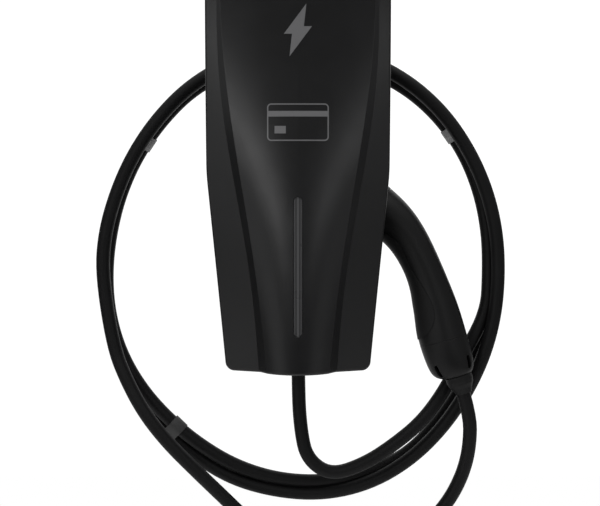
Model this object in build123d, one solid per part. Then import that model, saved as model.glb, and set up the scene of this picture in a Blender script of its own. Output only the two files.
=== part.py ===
"""A wall charging station for electric cars, with its tethered cable and plug.

Millimetres, +Z up. The wall is the plane y = 0 and the front faces -Y, so the depth of a
thing in front of the wall is -y. The origin is the centre of the four wall screws.
"""
from build123d import *
import os
from collections import namedtuple
from math import cos, pi, radians, sin, tan

os.makedirs("parts", exist_ok=True)

# Case, seen from the front
CASE_BOTTOM = -195.0
CASE_HEIGHT = 450.0
HALF_WIDTH_BOTTOM = 79.8
HALF_WIDTH_TOP = 100.0
TAPER_HEIGHT = 218.0
BOTTOM_CORNER_RADIUS = 10.0
TOP_CORNER_RADIUS = 26.0
KNEE_RADIUS = 260.0

# Case, in depth
TRAY_BACK = 72.0
PARTING = 96.0
PARTING_GAP = 0.4
WALL = 3.0
RIM_RADIUS = 2.5

# Raised centre panel and its two side facets. Height is a share of the case's, half_width one of
# the top's half width, and the rest are millimetres and degrees
PanelSection = namedtuple("PanelSection", "height half_width shoulder step crown facet_depth facet_angle")
PANEL = [
    PanelSection(0.0, 0.340, 8.6, 12.0, 13.0, 118.0, 20),
    PanelSection(0.218, 0.446, 6.8, 10.5, 12.0, 120.5, 19),
    PanelSection(0.413, 0.577, 7.5, 8.0, 9.0, 123.5, 17),
    PanelSection(0.607, 0.716, 8.0, 5.0, 5.5, 126.0, 15),
    PanelSection(0.795, 0.810, 5.5, 2.4, 3.0, 128.0, 13),
    PanelSection(1.0, 0.825, 5.0, 0.6, 2.2, 128.5, 12),
]

# Core behind the tray, which carries the coil on its arched top
CORE_HALF_WIDTH = 52.0
CORE_BOTTOM = -155.0
CORE_TOP = 149.6
CORE_TOP_RADIUS = 150.0
CORE_BACK = 1.0
CORE_WALL = 3.0
POCKET_DEPTH = 8.0

# Wall bracket
PLATE = 2.5
PLATE_HALF_WIDTH = 44.0
PLATE_TOP = 120.0
PLATE_BOTTOM = -147.0
WALL_HOLE_RADIUS = 3.5
WALL_HOLES_ACROSS = 66.0
WALL_HOLES_UP = 200.0
HOOK_X = 24.0
HOOK_WIDTH = 16.0
HOOK_Z = 82.0
HOOK_RISE = 8.5
HOOK_REACH = 8.4
LOCK_SCREW_X = 22.0
SUPPLY_HOLE_RADIUS = 22.0
SUPPLY_Z = -118.0

# Cover seal and the six cover screws
LEDGE_WIDTH = 8.0
LEDGE_THICK = 3.0
SEAL_WIDTH = 4.0
SEAL_THICK = 3.2
SCREW_BOSS_RADIUS = 5.0
COVER_SCREW_RADIUS = 1.9
COVER_SCREW_LENGTH = 31.0
COVER_HOLE_DEPTH = 10.0
SCREW_HEAD_RADIUS = 3.8
SCREW_HEAD_HEIGHT = 2.6
COVER_SCREW_POINTS = [(HALF_WIDTH_BOTTOM - 17.8, CASE_BOTTOM + 25),
                      (HALF_WIDTH_TOP - 22, CASE_BOTTOM + 0.467 * CASE_HEIGHT),
                      (HALF_WIDTH_TOP - 20, CASE_BOTTOM + CASE_HEIGHT - 29)]

# Light bar in the cover
LIGHT_Z = -78.0
LIGHT_LENGTH = 150.0
LIGHT_WIDTH = 8.6
LIGHT_GAP = 0.35
LIGHT_RECESS = 0.8
LIGHT_FLANGE = 3.0
LIGHT_BACK = 124.0
LED_BOARD_WIDTH = 14.0

# Boards
BOARD = 1.6
POWER_BOARD_DEPTH = 22.0
CONTROL_BOARD_DEPTH = 84.0
READER_Z = 77.0
READER_SIZE = (70.0, 50.0)
READER_BACK = 112.0
POST_RADIUS = 3.5
POST_HOLE_RADIUS = 1.3
BOARD_SCREW_RADIUS = 1.2

# Cable and its gland
CABLE_RADIUS = 8.0
GLAND_DEPTH = 45.0
GLAND_THREAD_RADIUS = 12.3
GLAND_HEX = 29.0
GLAND_BORE = 8.35
GLAND_FLANGE = 6.0
LOCK_NUT_HEIGHT = 5.0
DOME_NUT_HEIGHT = 19.0
BOOT_LENGTH = 25.0
FIT = 0.3
THREAD_FIT = 0.1

# Holster and plug: the plug leans out from the wall by PLUG_YAW
PLUG_YAW = 14.7
PLUG_PIVOT = (60.0, 33.0)
NOSE_RADIUS = 23.6
NOSE_LENGTH = 36.0
NOSE_FLAT = 20.0
CUP_WALL = 2.8
CUP_CLEARANCE = 0.8
CUP_END_GAP = 2.0
HOLSTER_PLATE = 3.0
PLUG_WALL = 2.6


def front(depth):
    """Drawing plane at a depth in front of the wall: its x is +X, its y is +Z."""
    return Plane(origin=(0, -depth, 0), x_dir=(1, 0, 0), z_dir=(0, -1, 0))


def slab(face, near_wall, away):
    """A flat drawing in x and z, as thick as from one depth to the other."""
    return extrude(front(near_wall) * face, amount=away - near_wall)


def mirrored(points):
    """Each point, and its mirror image across the middle of the case."""
    return [(side * x, z) for x, z in points for side in (-1, 1)]


def upright(x, depth, z):
    """Place a piece that was made round the Z axis."""
    return Location((x, -depth, z))


def tube(outer, inner, low, high):
    """A hollow cylinder round the Z axis."""
    ring = Circle(outer) - Circle(inner)
    return extrude(Plane.XY.offset(low) * ring, amount=high - low)


def hexagon(across_flats, low, high):
    """A hexagonal bar round the Z axis, with the corners turned off as on a nut."""
    bar = extrude(Plane.XY.offset(low) * RegularPolygon(across_flats / 2, 6, major_radius=False),
                  amount=high - low)
    return bar & extrude(Plane.XY.offset(low) * Circle(across_flats * 0.555), amount=high - low)


def pan_screw(radius, length, head_radius=SCREW_HEAD_RADIUS, head_height=SCREW_HEAD_HEIGHT):
    """A pan-head screw with a hexagon socket. Its head sits on z = 0, the shank points down."""
    profile = make_face(Polyline((0, -length), (radius * 0.6, -length), (radius, -length + radius),
                                 (radius, 0), (head_radius, 0), (head_radius, head_height * 0.5),
                                 (head_radius * 0.7, head_height), (0, head_height), close=True))
    body = revolve(Plane.XZ * profile, Axis.Z)
    socket = extrude(Plane.XY.offset(head_height * 0.3) * RegularPolygon(head_radius * 0.42, 6),
                     amount=head_height)
    return body - socket


def facing_front(x, depth, z):
    """Place a piece made round the Z axis so that its +Z points away from the wall."""
    return Location(front(depth).origin + Vector(x, 0, z), (90, 0, 0))


def facing_back(x, depth, z):
    """Place a piece made round the Z axis so that its +Z points to the wall."""
    return Location((x, -depth, z), (-90, 0, 0))


def group(pieces):
    return Compound(children=[s for piece in pieces for s in piece.solids()])


def save(shape, name):
    export_step(shape, f"parts/{name}.step")


# Case outlines, seen from the front

def case_outline(inset=0.0):
    top = CASE_BOTTOM + CASE_HEIGHT
    knee = CASE_BOTTOM + TAPER_HEIGHT
    corners = [(-HALF_WIDTH_BOTTOM, CASE_BOTTOM), (HALF_WIDTH_BOTTOM, CASE_BOTTOM),
               (HALF_WIDTH_TOP, knee), (HALF_WIDTH_TOP, top), (-HALF_WIDTH_TOP, top),
               (-HALF_WIDTH_TOP, knee)]
    face = make_face(Polyline(*corners, close=True))
    for z, radius in ((CASE_BOTTOM, BOTTOM_CORNER_RADIUS), (top, TOP_CORNER_RADIUS), (knee, KNEE_RADIUS)):
        ends = [v for v in face.vertices() if abs(v.Y - z) < 0.01]
        face = fillet(ends, radius)
    return offset(face, amount=-inset) if inset else face


def core_outline(inset=0.0):
    half = CORE_HALF_WIDTH
    drop = CORE_TOP_RADIUS - (CORE_TOP_RADIUS ** 2 - half ** 2) ** 0.5
    sides = Polyline((-half, CORE_TOP - drop), (-half, CORE_BOTTOM), (half, CORE_BOTTOM),
                     (half, CORE_TOP - drop))
    arch = ThreePointArc((half, CORE_TOP - drop), (0, CORE_TOP), (-half, CORE_TOP - drop))
    face = make_face(sides.edges() + arch.edges())
    face = fillet(face.vertices(), 6.0)
    return offset(face, amount=-inset) if inset else face


def panel_section(row, inset):
    """One horizontal cut of the front, out past the sides and back to the wall."""
    far = HALF_WIDTH_TOP + 20
    edge_x = row.half_width * HALF_WIDTH_TOP
    foot = edge_x + row.shoulder
    facet = row.facet_depth - inset
    edge = facet + row.step
    side = facet - (far - foot) * tan(radians(row.facet_angle))
    outline = (Polyline((-edge_x, edge), (-foot, facet), (-far, side), (-far, 40), (far, 40),
                        (far, side), (foot, facet), (edge_x, edge)).edges()
               + ThreePointArc((edge_x, edge), (0, edge + row.crown), (-edge_x, edge)).edges())
    level = Plane(origin=(0, 0, CASE_BOTTOM + row.height * CASE_HEIGHT), x_dir=(1, 0, 0), z_dir=(0, 0, -1))
    return level * make_face(outline)


def relief(inset=0.0):
    """Everything behind the moulded front surface, or behind a copy of it set back by inset."""
    return loft([panel_section(row, inset) for row in PANEL])


# Front cover and what it carries

def light_slot(grow):
    face = SlotOverall(LIGHT_LENGTH + 2 * grow, LIGHT_WIDTH + 2 * grow, rotation=90)
    return Pos(0, LIGHT_Z) * face


FRONT_MOST = 160.0
SCREW_POINTS = mirrored(COVER_SCREW_POINTS)
READER_POSTS = mirrored([(READER_SIZE[0] / 2 - 5, READER_Z - READER_SIZE[1] / 2 + 5),
                         (READER_SIZE[0] / 2 - 5, READER_Z + READER_SIZE[1] / 2 - 5)])
LED_POSTS = [(0, LIGHT_Z - LIGHT_LENGTH / 2 - 10), (0, LIGHT_Z + LIGHT_LENGTH / 2 + 10)]
RIM = PARTING + PARTING_GAP
LED_BOARD_BACK = LIGHT_BACK - 5.0


def circles(points, radius):
    return Sketch() + [Pos(*p) * Circle(radius) for p in points]


def make_front_cover():
    """The moulded cover, drawn as its right half with all that it carries, then mirrored."""
    right = Box(2 * CASE_HEIGHT, CASE_HEIGHT, 4 * CASE_HEIGHT, align=(Align.MIN, Align.CENTER, Align.CENTER))
    body = slab(case_outline(), RIM, FRONT_MOST) & relief() & right
    body = fillet([e for e in body.edges() if is_front_rim(e.bounding_box())], RIM_RADIUS)
    inner = relief(WALL)
    cavity = slab(case_outline(WALL), RIM - 1, FRONT_MOST) & inner
    room = slab(case_outline(WALL), RIM, FRONT_MOST) & inner & right
    seat = slab(Pos(0, LIGHT_Z) * RectangleRounded(24, LIGHT_LENGTH + 34, 6), LIGHT_BACK, FRONT_MOST) & room
    bosses = slab(circles(SCREW_POINTS, SCREW_BOSS_RADIUS - 0.5), RIM, FRONT_MOST) & room
    posts = slab(circles(READER_POSTS, POST_RADIUS), READER_BACK + BOARD, FRONT_MOST) & room
    lips = slab(circles(LED_POSTS, POST_RADIUS), LED_BOARD_BACK + BOARD, LIGHT_BACK) & right
    rib = slab(case_outline(WALL) - case_outline(WALL + SEAL_WIDTH + 0.6), RIM, RIM + 2.5) & right
    half = body - cavity + seat + bosses + posts + lips + rib
    half -= slab(light_slot(LIGHT_GAP), LIGHT_BACK - 1, FRONT_MOST)
    half -= slab(circles(SCREW_POINTS, COVER_SCREW_RADIUS + THREAD_FIT), RIM - 1, RIM + COVER_HOLE_DEPTH)
    half -= slab(circles(READER_POSTS, POST_HOLE_RADIUS), READER_BACK, READER_BACK + 9)
    half -= slab(circles(LED_POSTS, POST_HOLE_RADIUS), LED_BOARD_BACK, LIGHT_BACK + 5)
    return half + mirror(half, Plane.YZ)


def is_front_rim(box):
    """Whether an edge with this box runs round the front: not the parting, the middle or the panel's sides."""
    return box.max.Y < -RIM - 1 and box.size.Z < CASE_HEIGHT * 0.9 and box.max.X > 0.1


def make_light_pipe():
    bar = slab(light_slot(0), LIGHT_BACK - LIGHT_FLANGE, FRONT_MOST) & relief(LIGHT_RECESS)
    flange = slab(Pos(0, LIGHT_Z) * RectangleRounded(14, LIGHT_LENGTH + 8, 4),
                  LIGHT_BACK - LIGHT_FLANGE, LIGHT_BACK)
    return bar + flange


def make_led_board():
    face = Pos(0, LIGHT_Z) * RectangleRounded(LED_BOARD_WIDTH, LIGHT_LENGTH + 30, 3)
    board = slab(face - circles(LED_POSTS, BOARD_SCREW_RADIUS + FIT), LED_BOARD_BACK, LED_BOARD_BACK + BOARD)
    count = 9
    pitch = LIGHT_LENGTH / count
    lamps = [Pos(0, LIGHT_Z + (i - (count - 1) / 2) * pitch) * Rectangle(5, 5) for i in range(count)]
    return board + slab(Sketch() + lamps, LED_BOARD_BACK + BOARD, LED_BOARD_BACK + BOARD + 0.3)


def make_reader_board():
    face = Pos(0, READER_Z) * RectangleRounded(*READER_SIZE, 3)
    board = slab(face - circles(READER_POSTS, BOARD_SCREW_RADIUS + FIT), READER_BACK, READER_BACK + BOARD)
    chip = slab(Pos(0, READER_Z) * Rectangle(12, 12), READER_BACK - 1.2, READER_BACK)
    return board + chip


def make_cover_seal():
    ring = case_outline(WALL + 0.5) - case_outline(WALL + 0.5 + SEAL_WIDTH)
    return slab(ring, RIM - SEAL_THICK, RIM)


# Rear housing

def pocket_catch(side):
    """One inverted L on the back wall, which hooks over a tongue of the wall bracket."""
    top = HOOK_Z + HOOK_RISE
    shelf = slab(Pos(side * HOOK_X, top + 2.6) * Rectangle(HOOK_WIDTH + 4, 4),
                 PLATE + FIT, CORE_BACK + POCKET_DEPTH)
    lip_low = HOOK_Z + FIT
    lip = slab(Pos(side * HOOK_X, (lip_low + top + 4.6) / 2) * Rectangle(HOOK_WIDTH + 4, top + 4.6 - lip_low),
               PLATE + FIT, HOOK_REACH - PLATE - FIT)
    return shelf + lip


TRAY_POSTS = mirrored([(62, -22), (62, 112)])
POWER_POSTS = [(-42, -88), (36, -88), (-42, 118), (36, 118)]


def make_rear_housing():
    tray = slab(case_outline(), TRAY_BACK, PARTING)
    core = slab(core_outline(), CORE_BACK, TRAY_BACK + WALL)
    body = tray + core
    body -= slab(case_outline(WALL), TRAY_BACK + WALL, PARTING + 1)
    body -= slab(core_outline(CORE_WALL), CORE_BACK + POCKET_DEPTH + CORE_WALL, TRAY_BACK + WALL + 1)
    body -= slab(core_outline(CORE_WALL), CORE_BACK - 1, CORE_BACK + POCKET_DEPTH)
    floor = CORE_BACK + POCKET_DEPTH + CORE_WALL
    ledge_top = RIM - SEAL_THICK
    body += slab(case_outline(WALL - 0.5) - case_outline(WALL + LEDGE_WIDTH), ledge_top - LEDGE_THICK, ledge_top)
    body += slab(circles(SCREW_POINTS, SCREW_BOSS_RADIUS), TRAY_BACK + 1, PARTING)
    body += slab(circles(TRAY_POSTS, POST_RADIUS), TRAY_BACK + 1, CONTROL_BOARD_DEPTH)
    body += slab(circles(POWER_POSTS, POST_RADIUS), floor - 1, POWER_BOARD_DEPTH)
    body += pocket_catch(-1) + pocket_catch(1)
    for height in (-60, 0, 60):
        body += core_rib(height)
    body -= slab(circles(SCREW_POINTS, COVER_SCREW_RADIUS + FIT), TRAY_BACK - 1, PARTING + 1)
    body -= slab(circles(SCREW_POINTS, SCREW_HEAD_RADIUS + FIT), TRAY_BACK - 1, TRAY_BACK + SCREW_HEAD_HEIGHT)
    body -= slab(circles(TRAY_POSTS, POST_HOLE_RADIUS), TRAY_BACK + WALL, CONTROL_BOARD_DEPTH + 1)
    body -= slab(circles(POWER_POSTS, POST_HOLE_RADIUS), floor, POWER_BOARD_DEPTH + 1)
    body -= slab(Pos(0, SUPPLY_Z) * Circle(GROMMET_NECK), CORE_BACK, floor + 1)
    body -= upright(0, GLAND_DEPTH, CORE_BOTTOM) * Cylinder(GLAND_THREAD_RADIUS + FIT, 12)
    body -= upright(VENT_X, GLAND_DEPTH, CORE_BOTTOM) * Cylinder(VENT_RADIUS + FIT, 12)
    for x in (-LOCK_SCREW_X, LOCK_SCREW_X):
        body -= upright(x, LOCK_SCREW_DEPTH, CORE_BOTTOM) * Cylinder(COVER_SCREW_RADIUS + FIT, 12)
    body -= cup_body(CUP_CLEARANCE, solid=True)
    for y, z in HOLSTER_SCREWS:
        body -= Location((CORE_HALF_WIDTH, y, z), (0, 90, 0)) * Cylinder(POST_HOLE_RADIUS + 0.2, 12)
    return body


def core_rib(height):
    """A stiffening rib across the back wall, inside the pocket."""
    face = Pos(0, height) * Rectangle(2 * CORE_HALF_WIDTH - CORE_WALL, 2)
    return slab(face, PLATE + 1.2, CORE_BACK + POCKET_DEPTH + 1)


GROMMET_NECK = 14.0
GROMMET_LIP = 17.5
VENT_X = -34.0
VENT_RADIUS = 6.0
LOCK_SCREW_DEPTH = 5.2


# Wall bracket and its screws

def make_wall_bracket():
    plate = RectangleRounded(2 * PLATE_HALF_WIDTH, PLATE_TOP - PLATE_BOTTOM, 4)
    plate = Pos(0, (PLATE_TOP + PLATE_BOTTOM) / 2) * plate
    holes = [(x, z) for x in (-WALL_HOLES_ACROSS / 2, WALL_HOLES_ACROSS / 2)
             for z in (-WALL_HOLES_UP / 2, WALL_HOLES_UP / 2)]
    plate -= circles(holes, WALL_HOLE_RADIUS)
    plate -= Pos(0, SUPPLY_Z) * Circle(SUPPLY_HOLE_RADIUS)
    body = slab(plate, 0, PLATE)
    for side in (-1, 1):
        tongue = Pos(side * HOOK_X, HOOK_Z - PLATE / 2) * Rectangle(HOOK_WIDTH, PLATE)
        body += slab(tongue, PLATE / 2, HOOK_REACH)
        tip = Pos(side * HOOK_X, HOOK_Z - PLATE + (HOOK_RISE + PLATE) / 2) * Rectangle(HOOK_WIDTH, HOOK_RISE + PLATE)
        body += slab(tip, HOOK_REACH - PLATE, HOOK_REACH)
        window = Pos(side * HOOK_X, HOOK_Z + HOOK_RISE / 2 + 2) * Rectangle(HOOK_WIDTH, HOOK_RISE + 4)
        body -= slab(window, -1, PLATE + 0.01)
    tab = Pos(0, PLATE_BOTTOM + PLATE / 2) * Rectangle(2 * LOCK_SCREW_X + 14, PLATE)
    body += slab(tab, PLATE / 2, LOCK_SCREW_DEPTH + 3.2)
    for x in (-LOCK_SCREW_X, LOCK_SCREW_X):
        body -= upright(x, LOCK_SCREW_DEPTH, PLATE_BOTTOM) * Cylinder(COVER_SCREW_RADIUS + 0.1, 12)
    return body


def make_lock_screws():
    screw = Rotation(180, 0, 0) * pan_screw(COVER_SCREW_RADIUS, 12, head_radius=3.4)
    return group([upright(x, LOCK_SCREW_DEPTH, CORE_BOTTOM) * screw for x in (-LOCK_SCREW_X, LOCK_SCREW_X)])


def make_cover_screws():
    screw = pan_screw(COVER_SCREW_RADIUS, COVER_SCREW_LENGTH)
    return group([facing_back(x, TRAY_BACK + SCREW_HEAD_HEIGHT, z) * screw for x, z in SCREW_POINTS])


def make_supply_grommet():
    low = CORE_BACK + POCKET_DEPTH
    high = low + CORE_WALL
    profile = make_face(Polyline((0, high - 1.5), (6, high - 1.5), (8, high + 3), (GROMMET_NECK - FIT, high + 3),
                                 (GROMMET_LIP, high + 1.5), (GROMMET_LIP, high), (GROMMET_NECK - FIT, high),
                                 (GROMMET_NECK - FIT, low), (GROMMET_LIP, low), (GROMMET_LIP, low - 1.5),
                                 (GROMMET_NECK - 3, low - 1.5), (9, high - 3), (0, high - 3), close=True))
    return facing_front(0, 0, SUPPLY_Z) * revolve(Plane.XZ * profile, Axis.Z)


def make_vent_plug():
    low = CORE_BOTTOM
    profile = make_face(Polyline((0, low - 4), (VENT_RADIUS + 1, low - 4), (VENT_RADIUS + 2.5, low - 2),
                                 (VENT_RADIUS + 2.5, low), (VENT_RADIUS, low), (VENT_RADIUS, low + CORE_WALL + 3),
                                 (VENT_RADIUS - 2, low + CORE_WALL + 3), (VENT_RADIUS - 2, low), (0, low),
                                 close=True))
    return upright(VENT_X, GLAND_DEPTH, 0) * revolve(Plane.XZ * profile, Axis.Z)


# Output gland, from the lock nut inside down to the bend boot

GLAND_BODY_LOW = CORE_BOTTOM - GLAND_FLANGE
NUT_TOP = GLAND_BODY_LOW - FIT
NUT_LOW = NUT_TOP - DOME_NUT_HEIGHT
BOOT_LOW = NUT_LOW - BOOT_LENGTH
NECK_RADIUS = 11.0
NECK_LENGTH = 8.0


def at_gland(piece):
    return upright(0, GLAND_DEPTH, 0) * piece


def make_gland_body():
    body = hexagon(GLAND_HEX, GLAND_BODY_LOW, CORE_BOTTOM)
    body += tube(GLAND_THREAD_RADIUS, GLAND_BORE, CORE_BOTTOM, CORE_BOTTOM + CORE_WALL + LOCK_NUT_HEIGHT + 2)
    body += tube(NECK_RADIUS, GLAND_BORE, NUT_TOP - NECK_LENGTH, GLAND_BODY_LOW)
    body -= Pos(0, 0, CORE_BOTTOM) * Cylinder(GLAND_BORE, 60)
    return at_gland(body)


def make_gland_lock_nut():
    low = CORE_BOTTOM + CORE_WALL
    nut = hexagon(GLAND_HEX + 1, low, low + LOCK_NUT_HEIGHT)
    return at_gland(nut - Pos(0, 0, low) * Cylinder(GLAND_THREAD_RADIUS + 0.1, 20))


def make_gland_seal():
    high = NUT_TOP - NECK_LENGTH
    return at_gland(tube(NECK_RADIUS, CABLE_RADIUS + 0.05, NUT_LOW + 3, high))


def make_gland_nut():
    nut = hexagon(GLAND_HEX, NUT_TOP - 9, NUT_TOP)
    dome = make_face(Polyline((0, NUT_LOW), (11.3, NUT_LOW), (13.4, NUT_LOW + 5), (13.4, NUT_TOP - 9),
                              (0, NUT_TOP - 9), close=True))
    nut += revolve(Plane.XZ * dome, Axis.Z)
    nut -= extrude(Plane.XY.offset(NUT_LOW + 3) * Circle(NECK_RADIUS + 0.1), amount=DOME_NUT_HEIGHT)
    return at_gland(nut - Pos(0, 0, NUT_LOW) * Cylinder(GLAND_BORE, 20))


def make_gland_boot():
    inner = CABLE_RADIUS + 0.1
    profile = make_face(Polyline((inner, NUT_LOW), (10.9, NUT_LOW), (10.5, NUT_LOW - 4), (9.2, BOOT_LOW),
                                 (inner, BOOT_LOW), close=True))
    boot = revolve(Plane.XZ * profile, Axis.Z)
    return at_gland(boot)


# Holster on the right side of the core, and the plug that hangs in it

def plug_frame():
    """Drawing plane of the plug: x runs out to the right and away from the wall, y is +Z."""
    yaw = radians(PLUG_YAW)
    return Plane(origin=(PLUG_PIVOT[0], -PLUG_PIVOT[1], 0), x_dir=(cos(yaw), -sin(yaw), 0),
                 z_dir=(-sin(yaw), -cos(yaw), 0))


PLUG = plug_frame()

# Stations of the plug from its mouth to its end: place, direction, half width, half thickness
Station = namedtuple("Station", "x z angle across through")
STATIONS = [
    Station(32.0, -14.5, -40, 27.0, 27.0),
    Station(39.7, -21.0, -41, 26.7, 26.4),
    Station(57.0, -36.5, -47, 24.5, 23.6),
    Station(73.0, -58.0, -58, 22.2, 21.0),
    Station(92.0, -98.3, -70, 21.9, 19.6),
    Station(99.0, -121.0, -74, 24.3, 20.2),
    Station(104.8, -144.0, -76, 26.6, 21.2),
    Station(108.8, -161.0, -75, 27.6, 22.0),
    Station(114.0, -178.0, -72, 27.4, 22.4),
    Station(119.5, -193.5, -70, 26.2, 21.6),
    Station(127.5, -206.5, -71, 16.5, 15.9),
]
MOUTH = STATIONS[0]
END = STATIONS[-1]
SEAM = STATIONS[7]
SEAM_SHIFT = 6.0
END_WALL = 3.0
BOOT_BORE = CABLE_RADIUS + 0.1
PLUG_BOOT_RADIUS = 15.4
PLUG_BOOT_LENGTH = 22.0
SLOT_SPREAD = 52.0
SLOT_LEAN = 12.0
SLOT_SHIFT = 3.0
SLOT_LENGTH = 15.0
SLOT_WIDTH = 5.0


def heading(angle):
    """A direction in the plug's plane."""
    turn = radians(angle)
    return PLUG.x_dir * cos(turn) + PLUG.y_dir * sin(turn)


def plug_point(x, z, out=0.0):
    return PLUG.from_local_coords(Vector(x, z, out))


def station_plane(station, shift=0.0):
    """Plane across the plug at a station, with its x in the plug's plane."""
    along = heading(station.angle)
    return Plane(origin=plug_point(station.x, station.z) + along * shift, x_dir=along.cross(PLUG.z_dir),
                 z_dir=along)


def plug_loft(grow):
    rings = [station_plane(s) * Ellipse(s.across + grow, s.through + grow) for s in STATIONS]
    return loft(rings)


def plug_hollow():
    """The room inside the plug, open at the mouth and closed by the end wall."""
    first = station_plane(MOUTH, -1.0) * Ellipse(MOUTH.across - PLUG_WALL, MOUTH.through - PLUG_WALL)
    middle = [station_plane(s) * Ellipse(s.across - PLUG_WALL, s.through - PLUG_WALL) for s in STATIONS[1:-1]]
    last = station_plane(END, -END_WALL) * Ellipse(END.across - PLUG_WALL, END.through - PLUG_WALL)
    return loft([first] + middle + [last])


def beyond_seam(shift):
    """Everything on the cable side of the seam between the shells and the collar."""
    plane = station_plane(SEAM, SEAM_SHIFT + shift)
    return extrude(plane * Circle(60), amount=90)


PLUG_SCREWS = [(66.0, -30.5), (99.5, -84.0), (117.0, -138.0)]


def screw_column(x, z, radius, reach=80.0):
    return Location(PLUG * Pos(x, z, -40)) * Cylinder(radius, reach, align=(Align.CENTER, Align.CENTER, Align.MIN))


def make_plug_shells():
    outer = plug_loft(0)
    inner = plug_hollow()
    shell = outer - inner
    for x, z in PLUG_SCREWS:
        shell += screw_column(x, z, POST_RADIUS) & outer
    seat = station_plane(MOUTH)
    shell += (extrude(seat.offset(NOSE_TAIL + FIT) * (Circle(MOUTH.across) - Circle(NOSE_RADIUS - 4)), amount=2.5)
              & outer)
    for x, z in PLUG_SCREWS:
        shell -= screw_column(x, z, POST_HOLE_RADIUS + 0.1, 40 - PLUG_SCREW_SEAT + PLUG_SCREW_LENGTH + 1)
        shell -= Location(PLUG * Pos(x, z, -PLUG_SCREW_SEAT)) * Cylinder(
            PLUG_SCREW_HEAD + FIT, 30, align=(Align.CENTER, Align.CENTER, Align.MAX))
    shell -= beyond_seam(-FIT / 2)
    near = shell & extrude(PLUG * Rectangle(700, 700), amount=60)
    far = shell & extrude(PLUG * Rectangle(700, 700), amount=-60)
    return near, far


def make_plug_collar():
    collar = (plug_loft(0) - plug_hollow()) & beyond_seam(FIT / 2)
    collar -= extrude(station_plane(END, -END_WALL - 1) * Circle(BOOT_BORE + 2.6), amount=END_WALL + 3)
    return collar - slot_cut(-1) - slot_cut(1)


def slot_cut(side):
    """One of the two finger slots in the collar, to the left and right of its front."""
    base = station_plane(STATIONS[9], SLOT_SHIFT)
    turn = radians(90 - side * SLOT_SPREAD + SLOT_LEAN)
    out = base.x_dir * cos(turn) + PLUG.z_dir * sin(turn)
    centre = base.origin + out * STATIONS[9].through
    plane = Plane(origin=centre, x_dir=base.z_dir, z_dir=out)
    return extrude(plane * SlotOverall(SLOT_LENGTH, SLOT_WIDTH), amount=6, both=True)


GRIP_EDGE = [(34, -43), (50, -46.3), (61.6, -56), (69.5, -72), (80.5, -91.6), (92, -109), (100, -124),
             (103, -137), (100, -150), (91, -161)]
GRIP_BACK = [(80, -168), (64, -164), (56, -120), (44, -92), (14, -62)]


def make_grip_pad():
    edge = Spline([Vector(*p) for p in GRIP_EDGE])
    rest = Polyline(GRIP_EDGE[-1], *GRIP_BACK, GRIP_EDGE[0])
    region = make_face(edge.edges() + rest.edges())
    block = extrude(PLUG * region, amount=60, both=True)
    return (plug_loft(0.9) & block) - plug_loft(0.05)


NOSE_TAIL = 8.0
PIN_RADIUS = 3.4
SIGNAL_RADIUS = 2.0
PIN_SPOTS = [(0, -14.2), (0, 0), (0, 14.2), (-12.6, -7.4), (-12.6, 7.4)]
SIGNAL_SPOTS = [(12.0, -7.0), (12.0, 7.0)]


def nose_frame(shift=0.0):
    """Plane across the nose whose z runs out of the mouth and whose x is the nose's flat side."""
    along = heading(MOUTH.angle + 180)
    up = heading(MOUTH.angle + 90)
    return Plane(origin=plug_point(MOUTH.x, MOUTH.z) + along * shift, x_dir=up, z_dir=along)


def nose_section(grow):
    return Circle(NOSE_RADIUS + grow) & Pos(-40 + NOSE_FLAT + grow, 0) * Rectangle(80, 80)


def spots(points, radius):
    return Sketch() + [Pos(*p) * Circle(radius) for p in points]


def make_plug_nose():
    nose = extrude(nose_frame(-NOSE_TAIL) * nose_section(0), amount=NOSE_TAIL + NOSE_LENGTH)
    nose -= extrude(nose_frame(NOSE_LENGTH - 3) * nose_section(-2.4), amount=4)
    face = nose_frame(-NOSE_TAIL - 1)
    deep = NOSE_TAIL + NOSE_LENGTH + 2
    nose -= extrude(face * spots(PIN_SPOTS, PIN_RADIUS + 1.2), amount=deep)
    nose -= extrude(face * spots(SIGNAL_SPOTS, SIGNAL_RADIUS + 1.0), amount=deep)
    return nose


def make_plug_contacts():
    low = nose_frame(-NOSE_TAIL + 0.5)
    sleeves = []
    for points, outer in ((PIN_SPOTS, PIN_RADIUS + 1.2), (SIGNAL_SPOTS, SIGNAL_RADIUS + 1.0)):
        for point in points:
            ring = Pos(*point) * (Circle(outer - 0.02) - Circle(outer - 1.2))
            sleeves.append(extrude(low * ring, amount=NOSE_TAIL + NOSE_LENGTH - 12))
    return group(sleeves)


def make_plug_boot():
    """Bend relief of the plug: a flange inside the end wall, then a long taper on the cable."""
    profile = make_face(Polyline((BOOT_BORE, -END_WALL - 2.8), (BOOT_BORE + 4.6, -END_WALL - 2.8),
                                 (BOOT_BORE + 4.6, -END_WALL - FIT), (BOOT_BORE + 2.4, -END_WALL - FIT),
                                 (BOOT_BORE + 2.4, 0.8), (PLUG_BOOT_RADIUS, 0.8), (PLUG_BOOT_RADIUS, 7),
                                 (PLUG_BOOT_RADIUS - 1.2, 11), (PLUG_BOOT_RADIUS - 3.8, 15.5),
                                 (BOOT_BORE + 1.0, PLUG_BOOT_LENGTH), (BOOT_BORE, PLUG_BOOT_LENGTH),
                                 close=True))
    return Location(station_plane(END)) * revolve(Plane.XZ * profile, Axis.Z)


def make_plug_screws():
    screw = Rot(180, 0, 0) * pan_screw(BOARD_SCREW_RADIUS + 0.1, PLUG_SCREW_LENGTH, head_radius=PLUG_SCREW_HEAD, head_height=1.8)
    return group([Location(PLUG * Pos(x, z, -PLUG_SCREW_SEAT)) * screw for x, z in PLUG_SCREWS])


PLUG_SCREW_SEAT = 12.5
PLUG_SCREW_HEAD = 2.6
PLUG_SCREW_LENGTH = 22.0


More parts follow.
